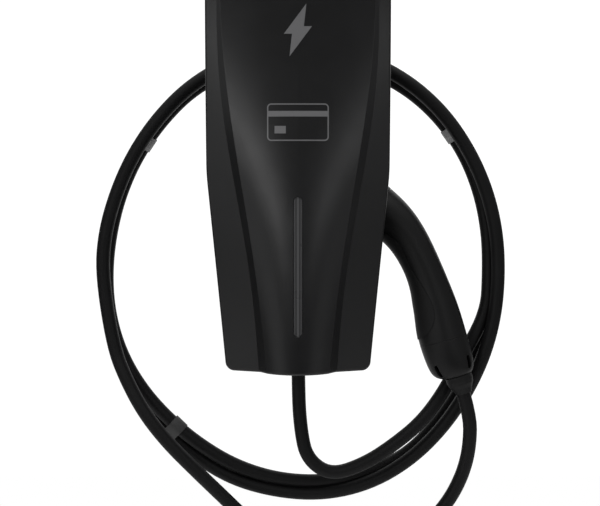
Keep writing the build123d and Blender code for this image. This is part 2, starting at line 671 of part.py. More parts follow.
def cup_body(grow, solid=False):
    """The holster's cup round the nose: outside only when solid, to cut its way into the core."""
    outer = NOSE_RADIUS + CUP_CLEARANCE + CUP_WALL + grow
    depth = NOSE_LENGTH + CUP_END_GAP + CUP_WALL
    cup = extrude(nose_frame(CUP_RIM) * Circle(outer), amount=depth - CUP_RIM + grow)
    if solid:
        return cup
    return cup - extrude(nose_frame(CUP_RIM - 1) * Circle(NOSE_RADIUS + CUP_CLEARANCE),
                         amount=depth - CUP_WALL - CUP_RIM + 1)


CUP_RIM = 2.0
HOLSTER_FOOT = [(0, 58), (32, 34), (36, -13), (21, -33), (0, -46)]
HOLSTER_SCREWS = [(-13.0, -38.0), (-60.0, -38.0), (-13.0, 52.0), (-60.0, 52.0)]


def make_holster():
    side = Plane(origin=(CORE_HALF_WIDTH, 0, 0), x_dir=(0, 1, 0), z_dir=(1, 0, 0))
    plate = side * (Pos(-36.5, 7) * RectangleRounded(60, 104, 6))
    body = extrude(plate, amount=HOLSTER_PLATE)
    web = make_face(Polyline(*[(CORE_HALF_WIDTH + x, z) for x, z in HOLSTER_FOOT], close=True))
    for near in (22.0, 46.0):
        body += slab(web, near, near + 3)
    body += cup_body(0, solid=True) & Box(200, 200, 400, align=(Align.MIN, Align.CENTER, Align.CENTER)).moved(
        Location((CORE_HALF_WIDTH - 9, 0, 0)))
    body -= extrude(nose_frame(CUP_RIM - 40) * Circle(NOSE_RADIUS + CUP_CLEARANCE),
                    amount=NOSE_LENGTH + CUP_END_GAP - CUP_RIM + 40)
    body -= extrude(nose_frame(CUP_RIM - 40) * Circle(MOUTH.across + 1), amount=40)
    for y, z in HOLSTER_SCREWS:
        body -= Location((CORE_HALF_WIDTH, y, z), (0, 90, 0)) * Cylinder(POST_HOLE_RADIUS + 0.4, 20)
    return body


def make_holster_screws():
    screw = pan_screw(POST_HOLE_RADIUS + 0.1, 6, head_radius=3.2, head_height=2.2)
    return group([Location((CORE_HALF_WIDTH + HOLSTER_PLATE, y, z), (0, 90, 0)) * screw
                  for y, z in HOLSTER_SCREWS])


# Electronics

def board(width, height, centre, depth, posts):
    face = Pos(*centre) * RectangleRounded(width, height, 2)
    return slab(face - circles(posts, BOARD_SCREW_RADIUS + FIT), depth, depth + BOARD)


POWER_TOP = POWER_BOARD_DEPTH + BOARD


def make_power_board():
    return board(88, 220, (-3, 15), POWER_BOARD_DEPTH, POWER_POSTS)


def make_control_board():
    return board(138, 150, (0, 45), CONTROL_BOARD_DEPTH, TRAY_POSTS)


def block(x, z, width, height, low, thick, corner=1.0):
    return slab(Pos(x, z) * RectangleRounded(width, height, corner), low, low + thick)


def make_relays():
    return group([block(-36 + 22 * i, 70, 19, 34, POWER_TOP, 28) for i in range(3)])


def make_supply_transformer():
    body = block(-22, 16, 32, 28, POWER_TOP, 22, 2)
    return body + block(-22, 16, 20, 34, POWER_TOP + 4, 14, 2)


def make_capacitors():
    cans = []
    for x, z in ((10, 26), (24, 26), (10, 8)):
        can = Cylinder(5.8, 22, align=(Align.CENTER, Align.CENTER, Align.MIN))
        can -= Pos(0, 0, 18.5) * (Cylinder(7, 0.8) - Cylinder(5.3, 0.8))
        cans.append(facing_front(x, POWER_TOP, z) * can)
    return group(cans)


TERMINAL_PITCH = 8.0


def terminals(x, poles, z):
    """A row of screw terminals: wires go in from below, the screws face the front."""
    width = poles * TERMINAL_PITCH + 2
    body = block(x, z, width, 20, POWER_TOP, 18)
    for i in range(poles):
        px = x + (i - (poles - 1) / 2) * TERMINAL_PITCH
        body -= slab(Pos(px, z) * Circle(2.6), POWER_TOP + 14, POWER_TOP + 19)
        hole = Location((px, -(POWER_TOP + 7), z - 10)) * Cylinder(2.9, 16)
        body -= hole
    return body


OUTPUT_X = 17.0
OUTPUT_Z = -40.0
POLES = 5


def make_input_terminals():
    return terminals(-27, 4, -73)


def make_output_terminals():
    return terminals(OUTPUT_X, POLES, OUTPUT_Z)


SENSOR_Z = -76.0
SENSOR_BORE = 8.5
SENSOR_RADIUS = 14.0
SENSOR_DEPTH = POWER_TOP + SENSOR_RADIUS + 1


def make_leakage_sensor():
    ring = upright(OUTPUT_X, SENSOR_DEPTH, SENSOR_Z) * tube(SENSOR_RADIUS, SENSOR_BORE, -6, 6)
    foot = block(OUTPUT_X, SENSOR_Z, 16, 12, POWER_TOP, 4)
    return ring + (foot - upright(OUTPUT_X, SENSOR_DEPTH, SENSOR_Z) * Cylinder(SENSOR_BORE, 14))


def make_control_cans():
    low = CONTROL_BOARD_DEPTH + BOARD
    return group([block(-30, 70, 34, 26, low, 3.2), block(20, 84, 26, 18, low, 2.6),
                  block(26, 20, 14, 14, low, 1.4, 0.5)])


def make_antenna():
    """Radio antenna: a flat strip standing at the top edge of the control board."""
    low = CONTROL_BOARD_DEPTH + BOARD
    return block(0, 113, 50, 7, low, 2.0, 0.8)


def make_board_screws():
    screw = pan_screw(BOARD_SCREW_RADIUS, 6, head_radius=2.6, head_height=1.8)
    places = [(p, CONTROL_BOARD_DEPTH + BOARD) for p in TRAY_POSTS]
    places += [(p, POWER_BOARD_DEPTH + BOARD) for p in POWER_POSTS]
    made = [facing_front(x, depth, z) * screw for (x, z), depth in places]
    made += [facing_back(x, READER_BACK, z) * screw for x, z in READER_POSTS]
    made += [facing_back(x, LED_BOARD_BACK, z) * screw for x, z in LED_POSTS]
    return group(made)


WIRE_RADIUS = 1.7


def make_output_wires():
    """Five insulated wires from the end of the cable's sheath, through the sensor, to the terminals."""
    wires = []
    for i in range(POLES):
        slot = i - (POLES - 1) / 2
        target = OUTPUT_X + slot * TERMINAL_PITCH
        lane = SENSOR_DEPTH + (2.2 if i % 2 else -2.2)
        start = Vector(slot * 2.55, -(GLAND_DEPTH + (2.2 if i % 2 else -2.2)), SHEATH_END)
        points = [start, Vector(slot * 2.55, start.Y, SHEATH_END + 16),
                  Vector(OUTPUT_X + slot * 2.9, -lane, SENSOR_Z - 22),
                  Vector(OUTPUT_X + slot * 2.9, -lane, SENSOR_Z + 9),
                  Vector(target, -(POWER_TOP + 7), OUTPUT_Z - 20), Vector(target, -(POWER_TOP + 7), OUTPUT_Z - 4)]
        path = FilletPolyline(*points, radius=5)
        section = Plane(origin=path @ 0, z_dir=path % 0) * Circle(WIRE_RADIUS)
        wires.append(sweep(section, path=path))
    return group(wires)


# Cable: a straight drop, a coil over the core, and a tail up to the plug

SHEATH_END = CORE_BOTTOM + CORE_WALL + LOCK_NUT_HEIGHT + 4
DROP_START = SHEATH_END

# Each row is x, z and depth
DROP_ROUTE = [(0, DROP_START, 45), (0, -228, 45), (3, -273, 50), (10, -307, 55.5), (38, -327, 56.5),
              (78, -314, 56.5), (112, -291, 54), (144, -264, 49.5), (170, -231, 43.5), (190, -195, 36.5),
              (203, -158, 30)]
TAIL_ROUTE = [(179.55, -195.15, 64.36), (197.21, -248.22, 68.99), (199.5, -290, 65), (193, -325, 61),
              (176, -359, 58), (147, -391, 57), (103, -416, 56.5), (51, -427, 56.5), (-2, -419, 56.5),
              (-47, -391, 56.5), (-86, -354, 57), (-121, -320, 58.3), (-152, -288, 58.8), (-180, -254, 55),
              (-201, -217, 47.5), (-217, -178, 40)]
COIL_BACK = 1.5
COIL_FRONT = 48.0
COIL_OUTSIDE = [(2, 180), (106, 153), (165, 109), (212, 40), (236, -30), (241, -89), (236, -148), (222, -198),
                (198, -246), (168, -288), (117, -333), (63, -356.5), (10, -363), (-44, -357), (-94, -345),
                (-148, -315), (-184, -267), (-220, -196), (-237, -124), (-239, -80), (-234, -30), (-216, 17),
                (-176, 87), (-108, 147)]
COIL_INSIDE = [(0, 150.6), (104, 128), (157, 86), (190, 38), (211, -30), (215, -92), (211, -148), (202, -186),
               (186, -222), (163, -256), (137, -285), (108, -307), (60, -325), (0, -332), (-64, -315.5),
               (-107, -291), (-138, -267), (-163, -243), (-197, -196), (-214, -148), (-219, -95), (-214, -45),
               (-195, 17), (-150, 87), (-104, 126)]
STRAPS = [(-172, 55), (174, 64), (-147, -277)]
STRAP_WIDTH = 18.0
STRAP_THICK = 1.3
STRAP_GAP = 0.15
COIL_CENTRE = (0, -92)


def route(points):
    """Straight runs joined by arcs, each as large as its two runs allow, with the arc radii."""
    spots_ = [Vector(x, -depth, z) for x, z, depth in points]
    radii = []
    for before, here, after in zip(spots_, spots_[1:], spots_[2:]):
        turn = (here - before).get_angle(after - here)
        shorter = min((here - before).length, (after - here).length)
        radii.append(0.45 * shorter / tan(radians(turn) / 2))
    return FilletPolyline(*spots_, radius=radii), radii


def cable(points, name):
    path, radii = route(points)
    section = Plane(origin=path @ 0, z_dir=path % 0) * Circle(CABLE_RADIUS)
    made = sweep(section, path=path)
    print(name, "length", round(path.length, 1), "arc radii", [round(r) for r in radii],
          "volume over section times length", round(made.volume / (pi * CABLE_RADIUS ** 2 * path.length), 4))
    return made


def make_coil():
    outside = make_face(Spline([Vector(*p) for p in COIL_OUTSIDE], periodic=True))
    inside = make_face(Spline([Vector(*p) for p in COIL_INSIDE], periodic=True))
    return slab(outside - inside, COIL_BACK, COIL_FRONT)


def outside_coil(run, coil):
    """The stretch of a run of cable that lies clear of the coil, up to where it joins it."""
    return max((run - coil).solids(), key=lambda s: s.volume)


def make_strap(coil, x, z):
    """A band round the coil, square to it, as large as the coil is there."""
    away = Vector(x - COIL_CENTRE[0], 0, z - COIL_CENTRE[1]).normalized()
    across = Plane(origin=(x, 0, z), x_dir=away, z_dir=(0, -1, 0))
    held = coil & extrude(across * Rectangle(90, STRAP_WIDTH), amount=COIL_FRONT + 5)
    size = across.to_local_coords(held).bounding_box()
    room = STRAP_THICK + STRAP_GAP
    along = Plane(origin=across.from_local_coords(size.center()), x_dir=away, z_dir=across.y_dir)
    width = size.size.X
    thick = size.size.Z
    band = Rectangle(width + 2 * room, thick + 2 * room) - Rectangle(width + 2 * STRAP_GAP, thick + 2 * STRAP_GAP)
    return extrude(along * band, amount=STRAP_WIDTH / 2, both=True)


def main():
    save(make_front_cover(), "front_cover")
    save(make_light_pipe(), "light_pipe")
    save(make_led_board(), "light_board")
    save(make_reader_board(), "card_reader_board")
    save(make_cover_seal(), "cover_seal")
    save(make_rear_housing(), "rear_housing")
    save(make_wall_bracket(), "wall_bracket")
    save(make_lock_screws(), "bracket_lock_screws")
    save(make_cover_screws(), "cover_screws")
    save(make_supply_grommet(), "supply_grommet")
    save(make_vent_plug(), "vent_plug")
    save(make_gland_body(), "gland_body")
    save(make_gland_lock_nut(), "gland_lock_nut")
    save(make_gland_seal(), "gland_seal")
    save(make_gland_nut(), "gland_nut")
    save(make_gland_boot(), "gland_boot")
    save(make_power_board(), "power_board")
    save(make_control_board(), "control_board")
    save(make_relays(), "relays")
    save(make_supply_transformer(), "supply_transformer")
    save(make_capacitors(), "capacitors")
    save(make_input_terminals(), "input_terminals")
    save(make_output_terminals(), "output_terminals")
    save(make_leakage_sensor(), "leakage_sensor")
    save(make_control_cans(), "control_board_cans")
    save(make_antenna(), "radio_antenna")
    save(make_board_screws(), "board_screws")
    save(make_output_wires(), "output_wires")
    save(make_holster(), "holster")
    save(make_holster_screws(), "holster_screws")
    near, far = make_plug_shells()
    save(near, "plug_shell_front")
    save(far, "plug_shell_back")
    save(make_plug_collar(), "plug_collar")
    save(make_grip_pad(), "plug_grip_pad")
    save(make_plug_nose(), "plug_nose")
    save(make_plug_contacts(), "plug_contacts")
    save(make_plug_boot(), "plug_boot")
    save(make_plug_screws(), "plug_screws")
    coil = make_coil()
    save(coil, "cable_coil")
    save(outside_coil(cable(DROP_ROUTE, "cable drop"), coil), "cable_drop")
    save(outside_coil(cable(TAIL_ROUTE, "cable tail"), coil), "cable_tail")
    for number, (x, z) in enumerate(STRAPS, 1):
        save(make_strap(coil, x, z), f"cable_strap_{number}")


main()
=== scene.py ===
"""A wall charging station with its tethered cable, dressed for a studio picture.

Metres, +Z up. The wall is the plane y = 0 and the front faces -Y, as in the solid model.
"""

from math import atan2, cos, degrees, radians, sin

import bmesh
import bpy
from mathutils import Matrix, Quaternion, Vector


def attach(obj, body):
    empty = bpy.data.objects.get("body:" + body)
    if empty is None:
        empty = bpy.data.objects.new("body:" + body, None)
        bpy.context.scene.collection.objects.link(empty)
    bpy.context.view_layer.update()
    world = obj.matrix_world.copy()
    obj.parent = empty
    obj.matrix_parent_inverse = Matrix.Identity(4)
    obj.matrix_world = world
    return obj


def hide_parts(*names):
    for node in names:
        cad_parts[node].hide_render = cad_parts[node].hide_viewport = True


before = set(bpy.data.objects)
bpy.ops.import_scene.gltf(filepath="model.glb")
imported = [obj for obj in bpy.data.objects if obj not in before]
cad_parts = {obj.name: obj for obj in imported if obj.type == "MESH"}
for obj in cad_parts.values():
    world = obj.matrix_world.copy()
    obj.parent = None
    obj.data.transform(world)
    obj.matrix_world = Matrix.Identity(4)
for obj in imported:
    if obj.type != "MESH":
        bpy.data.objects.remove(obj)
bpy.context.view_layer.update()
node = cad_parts
root = "root"


# Camera
# A portrait lens about 1.3 m from the wall, a little above the middle of the picture and
# level with the lower half of the case.
camera_aim = Vector((0.0022, 0.0, -0.070))
camera_far = 1.300
camera_rise = radians(3.0)
camera_data = bpy.data.cameras.new("studio_camera")
camera_data.lens = 65.0
camera_data.sensor_width = 36.0
camera = bpy.data.objects.new("studio_camera", camera_data)
bpy.context.scene.collection.objects.link(camera)
camera.location = camera_aim + Vector((0.0, -cos(camera_rise), sin(camera_rise))) * camera_far
camera.rotation_euler = (camera_aim - camera.location).to_track_quat("-Z", "Y").to_euler()
bpy.context.scene.camera = camera


# Charging cable
# Rubber-sheathed five-core cable, 16 mm thick. It leaves the gland in the foot of the case,
# turns up into the coil, goes round a little over two and a half times and ends in the plug.
class Value:
    """A shader socket or number that can be used in plain arithmetic."""

    def __init__(self, tree, source):
        self.tree = tree
        self.source = source

    def node(self, kind, settings=None, sockets=None, out=0):
        """Adds one shader node: its settings come first, then what goes into its sockets."""
        made = self.tree.nodes.new(kind)
        for name, value in (settings or {}).items():
            setattr(made, name, value)
        for name, value in (sockets or {}).items():
            self.put(made.inputs[name], value)
        return Value(self.tree, made.outputs[out])

    def put(self, socket, value):
        if isinstance(value, Value):
            value = value.source
        if isinstance(value, bpy.types.NodeSocket):
            self.tree.links.new(value, socket)
        else:
            socket.default_value = value

    def math(self, operation, a, b=0.0, c=0.0):
        return self.node("ShaderNodeMath", {"operation": operation}, {0: a, 1: b, 2: c})

    def __add__(self, other):
        return self.math("ADD", self, other)

    __radd__ = __add__

    def __mul__(self, other):
        return self.math("MULTIPLY", self, other)

    __rmul__ = __mul__

    def __sub__(self, other):
        return self.math("SUBTRACT", self, other)

    def __rsub__(self, other):
        return self.math("SUBTRACT", other, self)

    def __lt__(self, other):
        return self.math("LESS_THAN", self, other)

    def between(self, low, high, start=0.0, end=1.0):
        """This value spread from low..high to start..end, and held there."""
        return self.node("ShaderNodeMapRange", {"clamp": True, "interpolation_type": "SMOOTHSTEP"},
                         {"Value": self, "From Min": low, "From Max": high, "To Min": start, "To Max": end})

    def axis(self, number):
        return self.node("ShaderNodeSeparateXYZ", None, {0: self}, out=number)

    def blend(self, dark, light):
        """Colour between two, by this value."""
        made = self.tree.nodes.new("ShaderNodeMix")
        made.data_type = "RGBA"
        self.put(made.inputs[0], self)
        self.put(made.inputs[6], dark)
        self.put(made.inputs[7], light)
        return Value(self.tree, made.outputs[2])


def new_material(name):
    """An empty material with its shader, and a value to begin its maths from."""
    material = bpy.data.materials.new(name)
    material.use_nodes = True
    shader = next(n for n in material.node_tree.nodes if n.type == "BSDF_PRINCIPLED")
    start = Value(material.node_tree, None)
    place = start.node("ShaderNodeTexCoord", out=3)
    return material, shader, start, place


def noise(place, scale, detail=3.0, roughness=0.55):
    return place.node("ShaderNodeTexNoise", {"noise_dimensions": "3D"},
                      {"Vector": place, "Scale": scale, "Detail": detail, "Roughness": roughness})


colour_patches = 14.0
gloss_patches = 40.0
gloss_drift = 0.01


def moulded(name, dark, light, gloss, grain, depth, soften=0.0004, coat=0.0, shine=0.35):
    """Moulded plastic or rubber: fine cast grain, slightly uneven gloss, softened corners."""
    material, shader, start, place = new_material(name)
    broad = noise(place, colour_patches).between(0.3, 0.7)
    start.put(shader.inputs["Base Color"], broad.blend((*dark, 1.0), (*light, 1.0)))
    wear = noise(place, gloss_patches, 2.0).between(0.3, 0.7, gloss - gloss_drift, gloss + gloss_drift)
    start.put(shader.inputs["Roughness"], wear)
    shader.inputs["Coat Weight"].default_value = coat
    shader.inputs["Specular IOR Level"].default_value = shine
    rounded = start.node("ShaderNodeBevel", {"samples": 6}, {"Radius": soften})
    bumps = noise(place, grain, 2.0)
    start.put(shader.inputs["Normal"], start.node("ShaderNodeBump", None, {
        "Strength": 1.0, "Distance": depth, "Height": bumps, "Normal": rounded}))
    return material


def dress(names, material):
    """Gives solid-model pieces their finish."""
    for name in names:
        slots = node[name].material_slots
        if not slots:
            node[name].data.materials.append(material)
        for held in slots:
            held.material = material


cable_radius = 0.0080
coil_centre = Vector((0.0, 0.0, -0.092))
coil_outside = [(0.002, 0.180), (0.106, 0.153), (0.165, 0.109), (0.212, 0.040), (0.236, -0.030),
                (0.241, -0.089), (0.236, -0.148), (0.222, -0.198), (0.198, -0.246), (0.168, -0.288),
                (0.117, -0.333), (0.063, -0.3565), (0.010, -0.363), (-0.044, -0.357), (-0.094, -0.345),
                (-0.148, -0.315), (-0.184, -0.267), (-0.220, -0.196), (-0.236, -0.124), (-0.2375, -0.080),
                (-0.232, -0.030), (-0.214, 0.016), (-0.1745, 0.0855), (-0.108, 0.147)]
coil_inside = [(0.0, 0.1506), (0.104, 0.128), (0.157, 0.086), (0.190, 0.038), (0.211, -0.030),
               (0.215, -0.092), (0.211, -0.148), (0.202, -0.186), (0.186, -0.222), (0.163, -0.256),
               (0.137, -0.285), (0.108, -0.307), (0.060, -0.325), (0.0, -0.332), (-0.064, -0.3155),
               (-0.107, -0.291), (-0.138, -0.267), (-0.163, -0.243), (-0.196, -0.196), (-0.2125, -0.148),
               (-0.217, -0.095), (-0.2115, -0.045), (-0.1925, 0.016), (-0.1485, 0.0855), (-0.104, 0.126)]
# x, z and depth in front of the wall, from the gland to the coil and from the coil to the plug
drop_route = [(0.0, -0.143, 0.045), (0.0, -0.228, 0.045), (0.003, -0.273, 0.050),
              (0.010, -0.306, 0.0555), (0.038, -0.3255, 0.0565), (0.078, -0.3115, 0.0565),
              (0.112, -0.2895, 0.054), (0.144, -0.264, 0.0495), (0.170, -0.231, 0.0415),
              (0.190, -0.195, 0.0340)]
tail_route = [(-0.216, -0.1775, 0.040), (-0.1995, -0.216, 0.0475), (-0.1785, -0.2525, 0.055),
              (-0.151, -0.2865, 0.0588), (-0.1195, -0.3185, 0.0583), (-0.085, -0.3525, 0.057),
              (-0.047, -0.390, 0.0565), (-0.002, -0.419, 0.0565), (0.051, -0.427, 0.0565),
              (0.102, -0.416, 0.0565), (0.145, -0.390, 0.057), (0.1735, -0.3575, 0.058),
              (0.190, -0.324, 0.061), (0.1975, -0.290, 0.065), (0.19721, -0.24822, 0.06899),
              (0.17955, -0.19515, 0.06436)]
# Turned angle, place between the coil's inner and outer edge, depth in front of the wall
lay_of_turns = [(-12, 0.0, 0.0285), (20, 0.0, 0.0260), (60, 0.0, 0.0247), (200, 0.0, 0.0247),
                (240, 0.06, 0.0230), (260, 0.12, 0.0216), (270, 0.10, 0.0210), (285, 0.30, 0.0185),
                (300, 0.72, 0.0150), (320, 0.68, 0.0115), (350, 0.62, 0.0097), (420, 0.8, 0.0096),
                (500, 0.8, 0.0096), (562, 0.7, 0.0100), (586, 0.70, 0.0134), (596, 0.64, 0.0152),
                (604, 0.70, 0.0168), (614, 0.91, 0.0190), (630, 1.10, 0.0230), (645, 1.12, 0.0272),
                (660, 1.06, 0.0314), (680, 1.0, 0.0370), (702, 1.0, 0.0395), (840, 0.8, 0.0399),
                (906, 0.5, 0.0399)]
last_turned = 900
turn_step = 12
outer_slack = 0.0006


def read_off(rows, place):
    """Value at a place in rows of (place, value...), straight between its neighbours."""
    for low, high in zip(rows, rows[1:]):
        if place <= high[0]:
            share = (place - low[0]) / (high[0] - low[0])
            return [a + share * (b - a) for a, b in zip(low[1:], high[1:])]
    return list(rows[-1][1:])


def edge_radius(points, angle):
    """How far an edge of the coil is from its centre at an angle."""
    rows = sorted((degrees(atan2(z - coil_centre.z, x)) % 360.0, (Vector((x, z)) - coil_centre.xz).length)
                  for x, z in points)
    rows = [(rows[-1][0] - 360.0, rows[-1][1])] + rows + [(rows[0][0] + 360.0, rows[0][1])]
    return read_off(rows, angle % 360.0)[0]


cable_points = [Vector((x, -depth, z)) for x, z, depth in drop_route]
widen = 1.0 / cos(radians(turn_step / 2))
for turned in range(lay_of_turns[0][0], last_turned + 1, turn_step):
    aside, depth = read_off(lay_of_turns, turned)
    inner = edge_radius(coil_inside, turned) + cable_radius
    outer = edge_radius(coil_outside, turned) - cable_radius - outer_slack
    reach = (inner + aside * (outer - inner)) * widen
    cable_points.append(coil_centre + Vector((reach * cos(radians(turned)), -depth,
                                              reach * sin(radians(turned)))))
cable_points += [Vector((x, -depth, z)) for x, z, depth in tail_route]

cable_curve = bpy.data.curves.new("charging_cable", "CURVE")
cable_curve.dimensions = "3D"
cable_line = cable_curve.splines.new("NURBS")
cable_line.points.add(len(cable_points) - 1)
for point, place in zip(cable_line.points, cable_points):
    point.co = (*place, 1.0)
cable_line.order_u = 3
cable_line.use_endpoint_u = True
cable_line.resolution_u = 6
cable = bpy.data.objects.new("charging_cable", cable_curve)
bpy.context.scene.collection.objects.link(cable)
line_mesh = bpy.data.meshes.new_from_object(cable)
cable_path = [v.co.copy() for v in line_mesh.vertices]
bpy.data.meshes.remove(line_mesh)
cable_curve.bevel_depth = cable_radius
cable_curve.bevel_resolution = 6
cable_curve.use_fill_caps = True

cable_rubber = moulded("cable_rubber", (0.0030, 0.0030, 0.0032), (0.0042, 0.0042, 0.0045), 0.52, 90.0,
                       0.00001, shine=0.17)
cable_curve.materials.append(cable_rubber)
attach(cable, root)
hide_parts("cable_drop", "cable_coil", "cable_tail")


# Cable straps
# Grey woven hook-and-loop bands, closed on themselves round the first two turns. The third
# turn runs past in front of them.
strap_width = 0.017
strap_thick = 0.0012
strap_slack = 0.0002
strap_edge = 0.0003
half_round_step = 15
coil_begins = 0.19


def turn_at(angle, count):
    """Where the cable lies at an angle on each of its first turns, and which way it runs."""
    found = []
    for here, there in zip(cable_path, cable_path[1:]):
        if len(found) == count:
            break
        a = degrees(atan2(here.z - coil_centre.z, here.x)) % 360.0
        b = degrees(atan2(there.z - coil_centre.z, there.x)) % 360.0
        far = (here - coil_centre).xz.length
        if a <= angle < b and far > coil_begins:
            found.append(((here + there) / 2, (there - here).normalized()))
    return found


def woven(name, shade):
    """Woven tape in one shade of grey."""
    material, shader, start, place = new_material(name)
    weave = noise(place, 900.0, 1.0).between(0.3, 0.7)
    start.put(shader.inputs["Base Color"],
              weave.blend((shade * 0.85, shade * 0.85, shade * 0.86, 1.0),
                          (shade * 1.15, shade * 1.15, shade * 1.16, 1.0)))
    shader.inputs["Roughness"].default_value = 0.6
    start.put(shader.inputs["Normal"], start.node("ShaderNodeBump", None, {
        "Strength": 1.0, "Distance": 0.00006, "Height": weave}))
    return material


# The three straps are one and the same tape: the first two get a light grey as painted light, the third a
# dark grey as painted shade.
painted_light_tape = woven("painted_light_tape", 0.30)
painted_shade_tape = woven("painted_shade_tape", 0.028)
strap_angles = [(1, 139.5, painted_light_tape), (2, 41.9, painted_light_tape), (3, 231.5, painted_shade_tape)]

for number, angle, tape in strap_angles:
    held = turn_at(angle, 2)
    middle = (held[0][0] + held[1][0]) / 2
    along = (held[0][1] + held[1][1]).normalized()
    first, second = (p - middle - along * (p - middle).dot(along) for p, _ in held)
    toward = (second - first).normalized()
    side = along.cross(toward)
    ring_radius = cable_radius + strap_slack
    ring = []
    for centre, low in ((first, 90), (second, -90)):
        for step in range(180 // half_round_step + 1):
            turn = radians(low + half_round_step * step)
            ring.append(middle + centre + (toward * cos(turn) + side * sin(turn)) * ring_radius)
    band = bmesh.new()
    corners = [band.verts.new(p - along * strap_width / 2) for p in ring]
    edges = [band.edges.new((a, b)) for a, b in zip(corners, corners[1:] + corners[:1])]
    grown = bmesh.ops.extrude_edge_only(band, edges=edges)["geom"]
    bmesh.ops.translate(band, verts=[g for g in grown if isinstance(g, bmesh.types.BMVert)],
                        vec=along * strap_width)
    bmesh.ops.recalc_face_normals(band, faces=band.faces)
    bmesh.ops.solidify(band, geom=band.faces[:], thickness=-strap_thick)
    bmesh.ops.recalc_face_normals(band, faces=band.faces)
    strap_mesh = bpy.data.meshes.new(f"strap_{number}")
    band.to_mesh(strap_mesh)
    band.free()
    strap_mesh.materials.append(tape)
    strap = bpy.data.objects.new(f"strap_{number}", strap_mesh)
    bpy.context.scene.collection.objects.link(strap)
    for face in strap_mesh.polygons:
        face.use_smooth = True
    soft = strap.modifiers.new("edges", "BEVEL")
    soft.width = strap_edge
    soft.segments = 2
    soft.limit_method = "ANGLE"
    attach(strap, root)
    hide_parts(f"cable_strap_{number}")


# Front cover
# One moulding in satin black, with a raised and crowned middle between two dark steps.
cover_plastic = moulded("cover_plastic", (0.0078, 0.0078, 0.0082), (0.0092, 0.0092, 0.0097), 0.31, 1500.0,
                        0.000002, soften=0.0008)
dress(["front_cover"], cover_plastic)

# Two plain signs are printed on it in grey: a lightning bolt above, and a card for the reader behind.
cover_shader = next(n for n in cover_plastic.node_tree.nodes if n.type == "BSDF_PRINCIPLED")
moulded_colour = Value(cover_plastic.node_tree, cover_shader.inputs["Base Color"].links[0].from_socket)
cover_place = moulded_colour.node("ShaderNodeTexCoord", out=3)
across = cover_place.axis(0) * 1000.0
forward = cover_place.axis(1) * 1000.0
above_origin = cover_place.axis(2) * 1000.0
bolt_height = 175.0
card_height = 77.0
card_half_wide = 33.0
card_half_tall = 20.0
card_corner = 4.5
card_line_inset = 0.7
printed_depth = -131.0
sign_grey = (0.150, 0.150, 0.154, 1.0)


def filled(x, z, corners):
    """1 inside a convex outline of corners in millimetres, taken counter-clockwise."""
    nearest = None
    for (ax, az), (bx, bz) in zip(corners, corners[1:] + corners[:1]):
        long = Vector((bx - ax, bz - az)).length
        edge = (z - az) * ((bx - ax) / long) - (x - ax) * ((bz - az) / long)
        nearest = edge if nearest is None else edge.math("MINIMUM", nearest, edge)
    return nearest.between(-0.12, 0.12)


def from_card(x, z, half_wide, half_tall, corner):
    """Distance from the outline of a card with round corners."""
    over = x.math("MAXIMUM", x.math("ABSOLUTE", x) - (half_wide - corner), 0.0)
    above = x.math("MAXIMUM", z.math("ABSOLUTE", z) - (half_tall - corner), 0.0)
    return x.math("SQRT", over * over + above * above) - corner


bolt_x, bolt_z = across, above_origin - bolt_height
half_bolt = [(9.0, 28.0), (-15.0, -4.0), (5.5, -4.0)]
bolt = filled(bolt_x, bolt_z, half_bolt).math("MAXIMUM", filled(bolt_x, bolt_z, half_bolt),
                                              filled(bolt_x * -1.0, bolt_z * -1.0, half_bolt))
card_x, card_z = across, above_origin - card_height
card_edge = from_card(card_x, card_z, card_half_wide, card_half_tall, card_corner)
card_line = across.math("ABSOLUTE", card_edge + card_line_inset).between(0.55, 0.8, 1.0, 0.0)
card_band = filled(card_x, card_z, [(-32.0, 6.0), (32.0, 6.0), (32.0, 12.0), (-32.0, 12.0)])
card_chip = filled(card_x, card_z, [(-25.0, -12.0), (-13.0, -12.0), (-13.0, -4.0), (-25.0, -4.0)])
printed = card_line.math("MAXIMUM", card_line.math("MAXIMUM", card_line, card_band),
                         card_chip.math("MAXIMUM", card_chip, bolt))
printed = printed * (forward < printed_depth)
signed = cover_plastic.node_tree.nodes.new("ShaderNodeMix")
signed.data_type = "RGBA"
printed.put(signed.inputs[0], printed)
printed.put(signed.inputs[6], moulded_colour)
signed.inputs[7].default_value = sign_grey
printed.put(cover_shader.inputs["Base Color"], signed.outputs[2])


# Light bar
# A long smoked bar of clear plastic, set in its slot and lit from behind when charging. Off here.
light_plastic = moulded("light_plastic", (0.045, 0.045, 0.047), (0.055, 0.055, 0.057), 0.28, 600.0, 0.000002,
                        soften=0.0004, coat=0.3)
dress(["light_pipe"], light_plastic)

# The lamp strip behind it is off. A brighter middle line and brighter strips along both edges are painted
# highlights of the bar's rounded profile.
light_shader = next(n for n in light_plastic.node_tree.nodes if n.type == "BSDF_PRINCIPLED")
light_place = Value(light_plastic.node_tree, None).node("ShaderNodeTexCoord", out=3)
light_across = light_place.axis(0) * 1000.0
light_aside = light_across.math("ABSOLUTE", light_across)
painted_highlight_line = light_aside.math("MAXIMUM", light_aside.between(0.9, 1.5, 1.0, 0.0),
                              light_aside.between(2.5, 3.1, 0.0, 0.75))
painted_highlight_line.put(light_shader.inputs["Base Color"],
               painted_highlight_line.blend((0.030, 0.030, 0.031, 1.0), (0.078, 0.078, 0.080, 1.0)))


# Rear housing and holster
# Black mouldings behind the cover: the tray, the core that the coil hangs on, and the cup for the plug.
housing_plastic = moulded("housing_plastic", (0.0075, 0.0075, 0.0080), (0.0100, 0.0100, 0.0105), 0.48, 900.0,
                          0.00004, soften=0.0006)
dress(["rear_housing", "holster"], housing_plastic)


